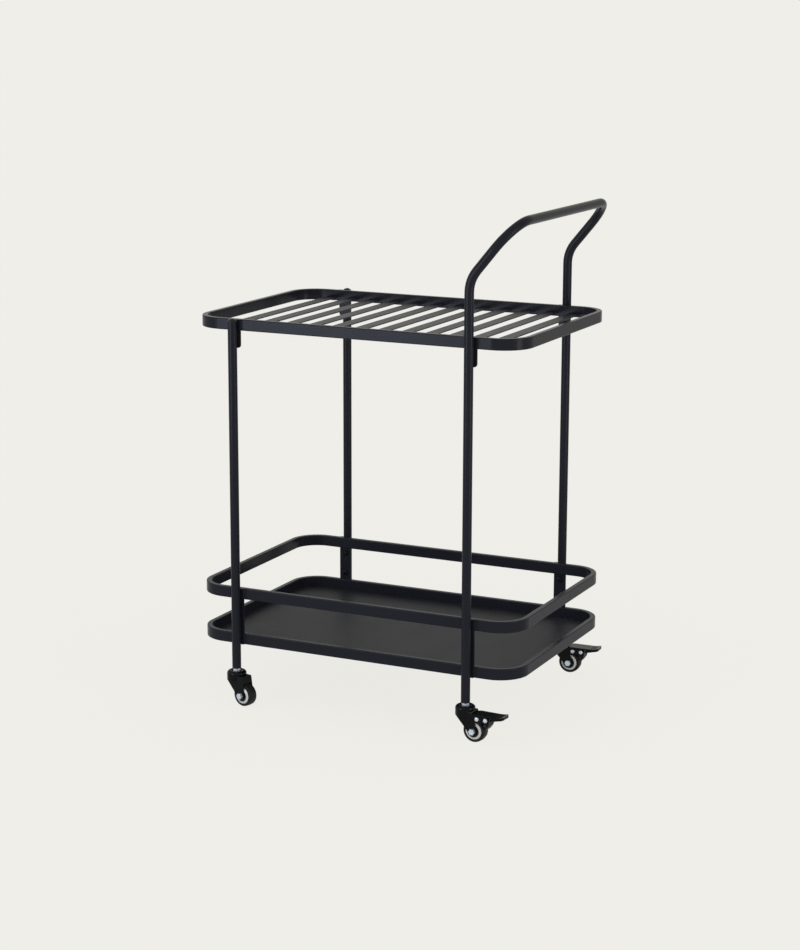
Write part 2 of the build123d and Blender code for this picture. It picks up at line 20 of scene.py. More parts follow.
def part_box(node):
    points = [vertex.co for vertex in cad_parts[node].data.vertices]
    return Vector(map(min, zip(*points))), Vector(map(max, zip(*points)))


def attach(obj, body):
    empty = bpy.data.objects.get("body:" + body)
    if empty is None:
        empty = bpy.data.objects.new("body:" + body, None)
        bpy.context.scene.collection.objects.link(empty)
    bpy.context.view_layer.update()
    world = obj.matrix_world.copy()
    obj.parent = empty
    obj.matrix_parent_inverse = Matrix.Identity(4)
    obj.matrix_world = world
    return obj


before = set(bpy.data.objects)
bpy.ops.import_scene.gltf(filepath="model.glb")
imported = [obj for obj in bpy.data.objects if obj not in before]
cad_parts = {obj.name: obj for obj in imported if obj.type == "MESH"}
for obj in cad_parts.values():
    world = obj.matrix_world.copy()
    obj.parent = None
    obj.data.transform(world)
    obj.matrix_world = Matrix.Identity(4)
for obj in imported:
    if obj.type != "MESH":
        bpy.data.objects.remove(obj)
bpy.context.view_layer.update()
LOG = logging.getLogger("bar_cart")

Colour = tuple[float, float, float]
Point = tuple[float, float, float]
Socket = bpy.types.NodeSocket


class Corner(Enum):
    """The four casters: sign of X, sign of Y, turn on the stem in degrees, braked or not."""

    FRONT_LEFT = ("front_left", -1, -1, -14.0, False)
    BACK_LEFT = ("back_left", -1, 1, 14.0, False)
    FRONT_RIGHT = ("front_right", 1, -1, -4.0, True)
    BACK_RIGHT = ("back_right", 1, 1, 2.0, True)

    @property
    def label(self) -> str:
        """Name used in the node names."""
        return self.value[0]

    @property
    def braked(self) -> bool:
        """True where the caster has a pedal."""
        return self.value[4]

    @property
    def turn(self) -> float:
        """Turn of the caster about its stem, in radians."""
        return math.radians(self.value[3])

    @property
    def trail(self) -> np.ndarray:
        """Level direction from the stem towards the wheel."""
        return np.array([math.cos(self.turn), math.sin(self.turn), 0.0])

    @property
    def across(self) -> np.ndarray:
        """Level direction along the axle."""
        return np.array([-math.sin(self.turn), math.cos(self.turn), 0.0])

    def stem(self, leg_x: float, leg_y: float) -> np.ndarray:
        """Point on the floor below the stem.

        Args:
            leg_x: distance of the stem from the middle along X.
            leg_y: distance of the stem from the middle along Y.

        Returns:
            The point.
        """
        return np.array([self.value[1] * leg_x, self.value[2] * leg_y, 0.0])


class Body(Enum):
    """Rigid bodies that new pieces ride on; the brakes add their corner's name."""

    FRAME = "cart_frame"
    BRAKE = "brake_"

    def at(self, corner: Corner) -> str:
        """Name of this body on one caster.

        Args:
            corner: which caster it is.

        Returns:
            The name.
        """
        return self.value + corner.label


class NodeSheet:
    """Adds and wires shader nodes in one node tree."""

    def __init__(self, tree: bpy.types.NodeTree) -> None:
        """Empty the tree and remember it.

        Args:
            tree: node tree of a material or of the world.
        """
        self.tree = tree
        self.tree.nodes.clear()

    def add(self, kind: str, **settings: object) -> bpy.types.Node:
        """Add a node.

        Args:
            kind: Blender's name of the node type.
            settings: attributes to set on the node.

        Returns:
            The new node.
        """
        node = self.tree.nodes.new(kind)
        for key, value in settings.items():
            setattr(node, key, value)
        return node

    def feed(self, target: Socket, value: object) -> None:
        """Link a socket to an input, or set the input to a number.

        Args:
            target: input socket.
            value: an output socket, or a plain value.
        """
        if isinstance(value, bpy.types.NodeSocket):
            self.tree.links.new(value, target)
        else:
            target.default_value = value

    def place(self) -> Socket:
        """Object coordinates, in metres."""
        return self.add("ShaderNodeTexCoord").outputs["Object"]

    def turned(self, point: Socket, centre: np.ndarray, turn: float) -> Socket:
        """Coordinates about a centre, turned about the vertical.

        Args:
            point: coordinates to change.
            centre: new origin.
            turn: angle of the new x axis, in radians.

        Returns:
            The new coordinates.
        """
        node = self.add("ShaderNodeMapping", vector_type="TEXTURE")
        self.feed(node.inputs["Vector"], point)
        node.inputs["Location"].default_value = [float(c) for c in centre]
        node.inputs["Rotation"].default_value = (0.0, 0.0, turn)
        return node.outputs["Vector"]

    def noise(self, point: Socket, scale: float, detail: float = 2.0) -> Socket:
        """Soft noise between 0 and 1.

        Args:
            point: coordinates.
            scale: waves per metre.
            detail: octaves.

        Returns:
            The noise value.
        """
        node = self.add("ShaderNodeTexNoise")
        self.feed(node.inputs["Vector"], point)
        node.inputs["Scale"].default_value = scale
        node.inputs["Detail"].default_value = detail
        return node.outputs["Fac"]

    def stretched(self, point: Socket, scale: Point) -> Socket:
        """Coordinates scaled apart along each axis.

        Args:
            point: coordinates to change.
            scale: factor for each axis.

        Returns:
            The new coordinates.
        """
        node = self.add("ShaderNodeVectorMath", operation="MULTIPLY")
        self.feed(node.inputs[0], point)
        node.inputs[1].default_value = scale
        return node.outputs[0]

    def sums(self, operation: str, first: object, second: object = 0.0) -> Socket:
        """One arithmetic step on two numbers.

        Args:
            operation: Blender's name of the step.
            first: first number or socket.
            second: second number or socket, where the step takes one.

        Returns:
            The result.
        """
        node = self.add("ShaderNodeMath", operation=operation)
        self.feed(node.inputs[0], first)
        self.feed(node.inputs[1], second)
        return node.outputs[0]

    def spread(self, value: Socket, low: float, high: float, to_low: float, to_high: float) -> Socket:
        """Carry a range of values over to another range, held at its ends.

        Args:
            value: number to carry over.
            low: start of the old range.
            high: end of the old range.
            to_low: start of the new range.
            to_high: end of the new range.

        Returns:
            The number in the new range.
        """
        node = self.add("ShaderNodeMapRange", clamp=True)
        self.feed(node.inputs["Value"], value)
        node.inputs["From Min"].default_value = low
        node.inputs["From Max"].default_value = high
        node.inputs["To Min"].default_value = to_low
        node.inputs["To Max"].default_value = to_high
        return node.outputs["Result"]

    def blend(self, factor: object, first: object, second: object) -> Socket:
        """Colour between two colours.

        Args:
            factor: share of the second colour.
            first: first colour.
            second: second colour.

        Returns:
            The mixed colour.
        """
        node = self.add("ShaderNodeMix", data_type="RGBA")
        self.feed(node.inputs["Factor"], factor)
        self.feed(node.inputs[6], first)
        self.feed(node.inputs[7], second)
        return node.outputs[2]

    def bump(self, height: Socket, depth: float, strength: float, under: Socket | None = None) -> Socket:
        """Bumped normal.

        Args:
            height: height between 0 and 1.
            depth: height of 1, in metres.
            strength: share of the effect.
            under: normal that the bump is laid on.

        Returns:
            The normal.
        """
        node = self.add("ShaderNodeBump")
        node.inputs["Strength"].default_value = strength
        node.inputs["Distance"].default_value = depth
        self.feed(node.inputs["Height"], height)
        if under is not None:
            self.feed(node.inputs["Normal"], under)
        return node.outputs["Normal"]

    def edges(self, radius: float) -> Socket:
        """Share of rounding at an edge: 0 on a flat face, up to 1 on a sharp edge.

        Args:
            radius: distance from the edge that counts, in metres.

        Returns:
            One minus the product of the true normal and the normal rounded over the radius.
        """
        rounded = self.add("ShaderNodeBevel", samples=4)
        rounded.inputs["Radius"].default_value = radius
        plain = self.add("ShaderNodeNewGeometry").outputs["Normal"]
        product = self.add("ShaderNodeVectorMath", operation="DOT_PRODUCT")
        self.feed(product.inputs[0], rounded.outputs["Normal"])
        self.feed(product.inputs[1], plain)
        return self.spread(product.outputs["Value"], 1.0, 0.75, 0.0, 1.0)

    def facing_up(self) -> Socket:
        """1 on a level upper face, 0 on upright and lower faces."""
        split = self.add("ShaderNodeSeparateXYZ")
        self.feed(split.inputs[0], self.add("ShaderNodeNewGeometry").outputs["Normal"])
        return self.spread(split.outputs["Z"], 0.6, 1.0, 0.0, 1.0)

    def shader(self, **inputs: object) -> bpy.types.Node:
        """Principled shader wired to the output.

        Args:
            inputs: values or sockets by input name, with _ for a space.

        Returns:
            The shader node.
        """
        node = self.add("ShaderNodeBsdfPrincipled")
        for key, value in inputs.items():
            self.feed(node.inputs[key.replace("_", " ")], value)
        out = self.add("ShaderNodeOutputMaterial")
        self.feed(out.inputs["Surface"], node.outputs["BSDF"])
        return node


@dataclass(frozen=True)
class Finish(ABC):
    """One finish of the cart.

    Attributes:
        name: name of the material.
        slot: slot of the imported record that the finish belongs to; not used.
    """

    name: str
    slot: str

    @abstractmethod
    def draw(self, sheet: NodeSheet) -> None:
        """Draw the finish in a node tree.

        Args:
            sheet: node tree to draw in.
        """

    def material(self) -> bpy.types.Material:
        """The Blender material of this finish, made once."""
        found = bpy.data.materials.get(self.name)
        if found is None:
            found = bpy.data.materials.new(self.name)
            found.use_nodes = True
            self.draw(NodeSheet(found.node_tree))
        return found


@dataclass(frozen=True)
class PowderCoat(Finish):
    """Satin black powder coat with a fine orange peel, a little dust, and polished edges with a painted
    highlight along them.

    Attributes:
        colour: coat colour.
        dust: colour of dust on upper faces.
        roughness: lowest and highest roughness.
        specular: specular level.
        peel: waves of the orange peel per metre.
        peel_depth: depth of the peel, in metres.
        edge: distance from an edge that is polished and painted paler as a highlight, in metres.
    """

    colour: Colour = (0.0115, 0.0118, 0.0155)
    dust: Colour = (0.050, 0.050, 0.052)
    roughness: tuple[float, float] = (0.21, 0.28)
    specular: float = 0.055
    peel: float = 700.0
    peel_depth: float = 0.00003
    edge: float = 0.0012

    def draw(self, sheet: NodeSheet) -> None:
        """Paint a highlight along the edges, mix coat and dust by noise, vary the gloss, and bump the peel.

        Args:
            sheet: node tree to draw in.
        """
        point = sheet.place()
        patches = sheet.noise(point, 14.0, 3.0)
        fine = sheet.noise(point, self.peel * 2.4, 1.0)
        # painted highlight: mask of the edges, where the coat is painted paler and also made a little glossier
        edge_highlight_mask = sheet.edges(self.edge)
        dusty = sheet.sums("MULTIPLY", sheet.facing_up(), sheet.spread(patches, 0.42, 0.72, 0.02, 0.16))
        # painted highlight colour for the edges: three times paler than the coat
        edge_highlight = tuple(3.0 * c for c in self.colour)
        coat = sheet.blend(sheet.sums("MULTIPLY", edge_highlight_mask, 0.7), (*self.colour, 1.0), (*edge_highlight, 1.0))
        colour = sheet.blend(dusty, coat, (*self.dust, 1.0))
        uneven = sheet.sums("ADD", patches, sheet.sums("MULTIPLY", fine, 0.5))
        satin = sheet.spread(uneven, 0.45, 1.1, *self.roughness)
        rough = sheet.sums("SUBTRACT", satin, sheet.sums("MULTIPLY", edge_highlight_mask, 0.08))
        peel = sheet.bump(sheet.noise(point, self.peel, 2.0), self.peel_depth, 0.55)
        normal = sheet.bump(sheet.noise(point, 60.0, 1.0), 0.0001, 0.25, peel)
        sheet.shader(Base_Color=colour, Roughness=rough, Normal=normal, Specular_IOR_Level=self.specular)


@dataclass(frozen=True)
class BrightZinc(Finish):
    """Bright zinc plate with fine scratches and faint clouding.

    Attributes:
        colour: plate colour.
        clouded: colour of the duller patches.
    """

    colour: Colour = (0.49, 0.54, 0.59)
    clouded: Colour = (0.37, 0.40, 0.44)

    def draw(self, sheet: NodeSheet) -> None:
        """Cloud the plate by noise and scratch it along the height.

        Args:
            sheet: node tree to draw in.
        """
        point = sheet.place()
        clouds = sheet.noise(point, 320.0, 3.0)
        scratches = sheet.noise(sheet.stretched(point, (1.0, 1.0, 9.0)), 900.0, 2.0)
        dull = sheet.spread(clouds, 0.4, 0.7, 0.0, 0.8)
        colour = sheet.blend(dull, (*self.colour, 1.0), (*self.clouded, 1.0))
        rough = sheet.spread(sheet.sums("ADD", clouds, scratches), 0.7, 1.3, 0.30, 0.46)
        normal = sheet.bump(scratches, 0.00004, 0.35)
        sheet.shader(Base_Color=colour, Roughness=rough, Normal=normal, Metallic=0.7)


@dataclass(frozen=True)
class CasterEnamel(Finish):
    """Glossy black enamel over pressed sheet steel, with its edges painted paler: partly rubbed wear, partly a
    painted highlight.

    Attributes:
        colour: enamel colour.
        worn: colour of the edges, partly rubbed thin and partly a painted highlight.
        edge: distance from an edge that is painted paler, in metres.
        roughness: lowest and highest roughness.
        specular: specular level.
    """

    colour: Colour = (0.0032, 0.0032, 0.0038)
    worn: Colour = (0.060, 0.060, 0.063)
    edge: float = 0.0008
    roughness: tuple[float, float] = (0.11, 0.19)
    specular: float = 0.085

    def draw(self, sheet: NodeSheet) -> None:
        """Paint the edges paler, partly as wear and partly as a painted highlight, patchy by noise, and let
        the press marks show as slow waves.

        Args:
            sheet: node tree to draw in.
        """
        point = sheet.place()
        waves = sheet.noise(point, 130.0, 2.0)
        wear = sheet.spread(sheet.noise(point, 420.0, 3.0), 0.45, 0.65, 0.0, 0.8)
        # painted highlight along the edges, broken into patches by the wear noise
        edge_highlight_mask = sheet.sums("MULTIPLY", sheet.edges(self.edge), wear)
        colour = sheet.blend(edge_highlight_mask, (*self.colour, 1.0), (*self.worn, 1.0))
        rough = sheet.spread(sheet.noise(point, 800.0, 2.0), 0.3, 0.7, *self.roughness)
        normal = sheet.bump(waves, 0.00035, 0.30)
        sheet.shader(Base_Color=colour, Roughness=rough, Normal=normal, Specular_IOR_Level=self.specular)


@dataclass(frozen=True)
class WheelFinish(Finish):
    """A finish laid out about one caster's axle.

    Attributes:
        centre: middle of the wheel.
        turn: turn of the caster, in radians.
    """

    centre: Point = (0.0, 0.0, 0.0)
    turn: float = 0.0

    def about_axle(self, sheet: NodeSheet) -> tuple[Socket, Socket]:
        """Coordinates about the axle.

        Args:
            sheet: node tree to draw in.

        Returns:
            Distance from the axle and distance along it.
        """
        local = sheet.turned(sheet.place(), np.array(self.centre), self.turn)
        split = sheet.add("ShaderNodeSeparateXYZ")
        sheet.feed(split.inputs[0], local)
        along, side, height = split.outputs[0], split.outputs[1], split.outputs[2]
        squares = [sheet.sums("MULTIPLY", part, part) for part in (along, height)]
        return sheet.sums("SQRT", sheet.sums("ADD", *squares)), side


@dataclass(frozen=True)
class TyreRubber(WheelFinish):
    """Dark rubber: a mould seam round the tread, rings on the walls and floor dust.

    Attributes:
        colour: rubber colour.
        dust: colour of dust on the tread.
        tread: radius of the tread.
        ring_pitch: distance between the rings on the walls.
        specular: specular level.
    """

    colour: Colour = (0.0080, 0.0080, 0.0088)
    dust: Colour = (0.060, 0.058, 0.054)
    tread: float = 0.021
    ring_pitch: float = 0.0011
    specular: float = 0.10

    def draw(self, sheet: NodeSheet) -> None:
        """Dust the tread, ring the walls by the distance from the axle, and bump both.

        Args:
            sheet: node tree to draw in.
        """
        point = sheet.place()
        radius, side = self.about_axle(sheet)
        specks = sheet.noise(point, 600.0, 4.0)
        worn = sheet.spread(radius, self.tread - 0.0012, self.tread, 0.0, 1.0)
        dusty = sheet.sums("MULTIPLY", worn, sheet.spread(specks, 0.45, 0.7, 0.0, 0.35))
        colour = sheet.blend(dusty, (*self.colour, 1.0), (*self.dust, 1.0))
        rings = sheet.sums("SINE", sheet.sums("MULTIPLY", radius, 2.0 * math.pi / self.ring_pitch))
        seam = sheet.spread(sheet.sums("ABSOLUTE", side), 0.0, 0.00035, 1.0, 0.0)
        height = sheet.sums("ADD", sheet.sums("MULTIPLY", rings, 0.25), seam)
        normal = sheet.bump(height, 0.00012, 0.6)
        normal = sheet.bump(specks, 0.00006, 0.5, normal)
        rough = sheet.spread(specks, 0.3, 0.7, 0.42, 0.58)
        sheet.shader(Base_Color=colour, Roughness=rough, Normal=normal, Specular_IOR_Level=self.specular)


@dataclass(frozen=True)
class CorePlastic(WheelFinish):
    """Pale moulded wheel core with turning marks, darker and speckled towards the hub.

    Attributes:
        colour: colour of the core.
        hub_side_colour: darker colour that the core takes towards the hub.
        mark_pitch: distance between the turning marks.
    """

    colour: Colour = (0.45, 0.435, 0.395)
    hub_side_colour: Colour = (0.20, 0.195, 0.18)
    mark_pitch: float = 0.0004

    def draw(self, sheet: NodeSheet) -> None:
        """Darken the core towards the hub by noise and bump rings about the axle.

        Args:
            sheet: node tree to draw in.
        """
        point = sheet.place()
        radius, _ = self.about_axle(sheet)
        specks = sheet.noise(point, 500.0, 4.0)
        # darker and speckled towards the hub, next to the hub cover
        near = sheet.spread(radius, 0.0112, 0.0126, 1.0, 0.0)
        hub_side_mask = sheet.sums("MULTIPLY", near, sheet.spread(specks, 0.35, 0.65, 0.15, 0.8))
        colour = sheet.blend(hub_side_mask, (*self.colour, 1.0), (*self.hub_side_colour, 1.0))
        rings = sheet.sums("SINE", sheet.sums("MULTIPLY", radius, 2.0 * math.pi / self.mark_pitch))
        normal = sheet.bump(rings, 0.00002, 0.4)
        rough = sheet.spread(specks, 0.3, 0.7, 0.24, 0.36)
        sheet.shader(Base_Color=colour, Roughness=rough, Normal=normal)


@dataclass(frozen=True)
class MouldedPlastic(Finish):
    """Black moulded plastic with a fine eroded grain.

    Attributes:
        colour: plastic colour.
        scuffed: colour of scuffs at the edges.
        edge: distance from an edge that can scuff, in metres.
        roughness: lowest and highest roughness.
        grain: depth of the grain, in metres.
        specular: specular level.
    """

    colour: Colour = (0.0080, 0.0080, 0.0085)
    scuffed: Colour = (0.040, 0.040, 0.041)
    edge: float = 0.0006
    roughness: tuple[float, float] = (0.38, 0.52)
    grain: float = 0.00005
    specular: float = 0.15

    def draw(self, sheet: NodeSheet) -> None:
        """Scuff the edges and bump the grain.

        Args:
            sheet: node tree to draw in.
        """
        point = sheet.place()
        grain = sheet.noise(point, 1600.0, 2.0)
        wear = sheet.spread(sheet.noise(point, 260.0, 3.0), 0.4, 0.7, 0.0, 0.7)
        scuffs = sheet.sums("MULTIPLY", sheet.edges(self.edge), wear)
        colour = sheet.blend(scuffs, (*self.colour, 1.0), (*self.scuffed, 1.0))
        rough = sheet.spread(grain, 0.3, 0.7, *self.roughness)
        normal = sheet.bump(grain, self.grain, 0.5)
        sheet.shader(Base_Color=colour, Roughness=rough, Normal=normal, Specular_IOR_Level=self.specular)


SATIN_BLACK = PowderCoat("satin_black_powder_coat", "powder_coat_black")
BAR_BLACK = PowderCoat("satin_black_bars", "powder_coat_black", roughness=(0.36, 0.44), specular=0.11)
SHEET_BLACK = PowderCoat(
    "satin_black_tray_sheet", "powder_coat_black", roughness=(0.44, 0.52), specular=0.11, peel=520.0
)
BRIGHT_ZINC = BrightZinc("bright_zinc", "zinc_steel")
GLOSS_BLACK = CasterEnamel("gloss_black_enamel", "caster_black")
BLACK_BOLTS = CasterEnamel("black_oxide_bolts", "black_steel", colour=(0.0065, 0.0065, 0.0070))
BLACK_PLASTIC = MouldedPlastic("black_moulded_plastic", "plastic_black")
CAP_PLASTIC = MouldedPlastic("black_polished_caps", "plastic_black", roughness=(0.12, 0.18), grain=0.00001)


def lattice_faces(copies: int, rows: int, columns: int) -> tuple[np.ndarray, np.ndarray]:
    """Faces of closed spindles: a lattice that wraps round, with a point at both ends.

    Point (c, r, k) has index c * (rows * columns + 2) + r * columns + k; the two end points
    of a copy come last. Quads join (r, k) to (r + 1, k + 1), and fans close the ends.

    Args:
        copies: number of spindles.
        rows: rings of a spindle.
        columns: points of a ring.

    Returns:
        Quads and triangles as index arrays.
    """
    size = rows * columns + 2
    r, k = np.meshgrid(np.arange(rows - 1), np.arange(columns), indexing="ij")
    after = (k + 1) % columns
    quads = np.stack(
        [r * columns + k, r * columns + after, (r + 1) * columns + after, (r + 1) * columns + k], axis=-1
    ).reshape(-1, 4)
    ring = np.arange(columns)
    following = (ring + 1) % columns
    last = (rows - 1) * columns
    start = np.stack([following, ring, np.full(columns, rows * columns)], axis=-1)
    end = np.stack([last + ring, last + following, np.full(columns, rows * columns + 1)], axis=-1)
    shift = (np.arange(copies) * size)[:, None, None]
    return (quads[None] + shift).reshape(-1, 4), (np.concatenate([start, end])[None] + shift).reshape(-1, 3)


def put_mesh(name: str, points: np.ndarray, quads: np.ndarray, triangles: np.ndarray) -> bpy.types.Object:
    """Smooth mesh object at the origin from arrays of points and faces.

    Args:
        name: name of the piece.
        points: coordinates, one row each.
        quads: four-sided faces as indices.
        triangles: three-sided faces as indices.

    Returns:
        The object, linked to the scene.
    """
    corners = np.concatenate([quads.ravel(), triangles.ravel()]).astype(np.int32)
    starts = np.concatenate(
        [np.arange(len(quads)) * 4, len(quads) * 4 + np.arange(len(triangles)) * 3]
    ).astype(np.int32)
    mesh = bpy.data.meshes.new(name)
    mesh.vertices.add(len(points))
    mesh.vertices.foreach_set("co", points.astype(np.float32).ravel())
    mesh.loops.add(len(corners))
    mesh.loops.foreach_set("vertex_index", corners)
    mesh.polygons.add(len(starts))
    mesh.polygons.foreach_set("loop_start", starts)
    mesh.polygons.foreach_set("use_smooth", np.ones(len(starts), dtype=bool))
    mesh.update(calc_edges=True)
    mesh.validate()
    piece = bpy.data.objects.new(name, mesh)
    bpy.context.scene.collection.objects.link(piece)
    return piece


@dataclass
class Bead:
    """Half-sunk bead along a straight seam, such as a weld or a pressed rib.

    The surface is p(s, t) = a + (b - a) s + r(s) (cos t u + sin t v), where
    r(s) = radius * sqrt(1 - |2 s - 1|^blunt) * (1 + ripple * |sin(pi s n)|), and n is the
    length over the pitch, so the bead swells and sinks like laid-down drops.

    Attributes:
        radius: radius of the bead.
        ripple: share that each drop stands out.
        pitch: length of one drop.
        blunt: how suddenly the ends close.
        rows: rings along the bead.
        columns: points round the bead.
    """

    radius: float
    ripple: float = 0.16
    pitch: float = 0.0021
    blunt: float = 8.0
    rows: int = 56
    columns: int = 10

    def build(self, name: str, starts: np.ndarray, ends: np.ndarray) -> bpy.types.Object:
        """Make one mesh of beads.

        Args:
            name: name of the piece.
            starts: first ends of the beads, one row each.
            ends: second ends of the beads.

        Returns:
            The piece.
        """
        run = ends - starts
        length = np.linalg.norm(run, axis=1, keepdims=True)
        ahead = run / length
        upright = np.abs(ahead[:, 2:3]) > 0.9
        helper = np.where(upright, np.array([[1.0, 0.0, 0.0]]), np.array([[0.0, 0.0, 1.0]]))
        u = np.cross(helper, ahead)
        u = u / np.linalg.norm(u, axis=1, keepdims=True)
        v = np.cross(ahead, u)
        s = (np.arange(self.rows) + 0.5) / self.rows
        t = np.arange(self.columns) * 2.0 * np.pi / self.columns
        drops = np.round(length / self.pitch)
        swell = 1.0 + self.ripple * np.abs(np.sin(np.pi * s[None] * drops))
        radius = self.radius * np.sqrt(1.0 - np.abs(2.0 * s - 1.0) ** self.blunt)[None] * swell
        ring = np.cos(t)[:, None] * u[:, None, None] + np.sin(t)[:, None] * v[:, None, None]
        middle = starts[:, None] + run[:, None] * s[None, :, None]
        body = middle[:, :, None] + radius[:, :, None, None] * ring
        tips = np.stack([starts, ends], axis=1)
        copies = len(starts)
        points = np.concatenate([body.reshape(copies, -1, 3), tips], axis=1).reshape(-1, 3)
        return put_mesh(name, points, *lattice_faces(copies, self.rows, self.columns))


def dress(node: str, finish: Finish) -> None:
    """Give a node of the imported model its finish.

    Args:
        node: name of the node.
        finish: finish to put in its material slot.
    """
    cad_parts[node].material_slots[0].material = finish.material()
    LOG.info("dressed %s with %s", node, finish.name)


def fit_piece(piece: bpy.types.Object, body: str, finish: Finish) -> None:
    """Give a new piece its finish and let it ride on a body.

    Args:
        piece: piece in its place.
        body: name of the body.
        finish: finish of the piece.
    """
    piece.data.materials.append(finish.material())
    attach(piece, body)
    LOG.info("built %s on %s", piece.name, body)


@dataclass
class TubeFrame:
    """Rails, legs, push handle and the plates and fasteners that join them.

    Attributes:
        leg_x: distance of the legs from the middle along X.
        plate_half: half width of the plates on the rails.
        weld: bead along the plates' edges.
        weld_margin: length left free at the ends of a plate's weld.
    """

    leg_x: float = 0.230
    plate_half: float = 0.012
    weld: Bead = field(default_factory=lambda: Bead(radius=0.0011, pitch=0.0017, rows=40))
    weld_margin: float = 0.0022

    def build_welds(self) -> None:
        """Weld each plate to the rails behind it, along both of its upright edges."""
        rails = np.array([[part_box(n)[0].z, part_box(n)[1].z] for n in ("tray_rim", "guard_rail", "top_rim")])
        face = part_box("top_rim")[1].y
        both = [-1.0, 1.0]
        side, edge, y, level = np.meshgrid(both, both, [-face, face], np.arange(3), indexing="ij")
        x = (side * self.leg_x + edge * self.plate_half).ravel()
        y = y.ravel()
        low = rails[level.ravel(), 0] + self.weld_margin
        high = rails[level.ravel(), 1] - self.weld_margin
        starts, ends = np.stack([x, y, low], axis=1), np.stack([x, y, high], axis=1)
        fit_piece(self.weld.build("plate_welds", starts, ends), Body.FRAME.value, SATIN_BLACK)

    def dress(self) -> None:
        """Coat the tubes and plates, and plate the fasteners."""
        rails = ("top_rim", "guard_rail", "tray_rim")
        legs = ("leg_front_left", "leg_back_left", "handle_frame")
        for node in (*rails, *legs, "top_brackets", "basket_posts"):
            dress(node, SATIN_BLACK)
        for node in ("frame_bolts", "lock_washers"):
            dress(node, BLACK_BOLTS)
        dress("rivet_nuts", BRIGHT_ZINC)
        dress("leg_caps", CAP_PLASTIC)
        dress("leg_inserts", BLACK_PLASTIC)


@dataclass
class TopShelf:
    """Flat bars of the top shelf and their welds.

    Attributes:
        count: number of bars.
        pitch: distance between bars.
        width: width of a bar.
        weld: bead under the end of a bar.
        weld_margin: length left free at both sides of a bar.
    """

    count: int = 12
    pitch: float = 0.046
    width: float = 0.023
    weld: Bead = field(default_factory=lambda: Bead(radius=0.0013))
    weld_margin: float = 0.0015

    def build_welds(self) -> None:
        """Weld both ends of each bar to the rim from below."""
        low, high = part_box("top_slats")
        places = (np.arange(self.count) - (self.count - 1) / 2) * self.pitch
        x, y = (a.ravel() for a in np.meshgrid(places, [low.y, high.y], indexing="ij"))
        half = self.width / 2 - self.weld_margin
        z = np.full(x.shape, low.z)
        starts, ends = np.stack([x - half, y, z], axis=1), np.stack([x + half, y, z], axis=1)
        fit_piece(self.weld.build("slat_welds", starts, ends), Body.FRAME.value, SATIN_BLACK)

    def dress(self) -> None:
        """Coat the bars."""
        dress("top_slats", BAR_BLACK)


@dataclass
class LowerTray:
    """Sheet floor of the tray and the tacks that hold it in its rim.

    Attributes:
        tack: bead of one tack.
        tack_length: length of one tack.
        tacks_long: tacks along a long side.
        tacks_short: tacks along a short side.
        straight: share of a side that is straight, between the round corners.
    """

    tack: Bead = field(default_factory=lambda: Bead(radius=0.0011, rows=36))
    tack_length: float = 0.016
    tacks_long: int = 6
    tacks_short: int = 4
    straight: float = 0.80

    def build_tacks(self) -> None:
        """Tack the sheet to the rim from below, along all four sides."""
        low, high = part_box("tray_sheet")
        half = self.tack_length / 2
        along = np.linspace(-1.0, 1.0, self.tacks_long) * high.x * self.straight
        beside = np.linspace(-1.0, 1.0, self.tacks_short) * high.y * self.straight
        x, y = (a.ravel() for a in np.meshgrid(along, [low.y, high.y], indexing="ij"))
        long_sides = np.stack([x, y, np.full(x.shape, low.z)], axis=1)
        x, y = (a.ravel() for a in np.meshgrid([low.x, high.x], beside, indexing="ij"))
        short_sides = np.stack([x, y, np.full(x.shape, low.z)], axis=1)
        shift_long, shift_short = np.array([[half, 0.0, 0.0]]), np.array([[0.0, half, 0.0]])
        starts = np.concatenate([long_sides - shift_long, short_sides - shift_short])
        ends = np.concatenate([long_sides + shift_long, short_sides + shift_short])
        fit_piece(self.tack.build("tray_tacks", starts, ends), Body.FRAME.value, SHEET_BLACK)

    def dress(self) -> None:
        """Coat the sheet."""
        dress("tray_sheet", SHEET_BLACK)


